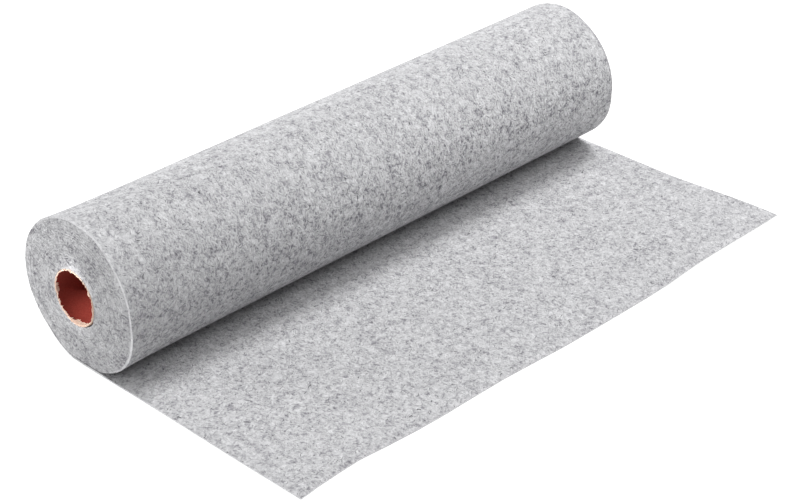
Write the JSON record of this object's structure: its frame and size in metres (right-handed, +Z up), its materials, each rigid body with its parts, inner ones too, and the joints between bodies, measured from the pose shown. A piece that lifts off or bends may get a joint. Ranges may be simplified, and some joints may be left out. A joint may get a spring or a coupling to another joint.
{
  "type": "felt roll",
  "caption": "Roll of needle felt wound on a cardboard tube, with its loose end lying flat on the ground.",
  "frame": {"origin": "middle of the footprint of the roll and its loose end, on the ground", "axes": "+Y along the roll's axis, from its near end to its far end; +X from the roll towards the cut front edge of the loose end; +Z up"},
  "size_m": [0.2552, 0.4552, 0.1034],
  "materials": {
    "felt": "matt, fibrous, heather grey",
    "cardboard": "matt card, brown"
  },
  "bodies": {
    "root": {"felt": "felt", "core_tube": "cardboard"}
  },
  "joints": []
}
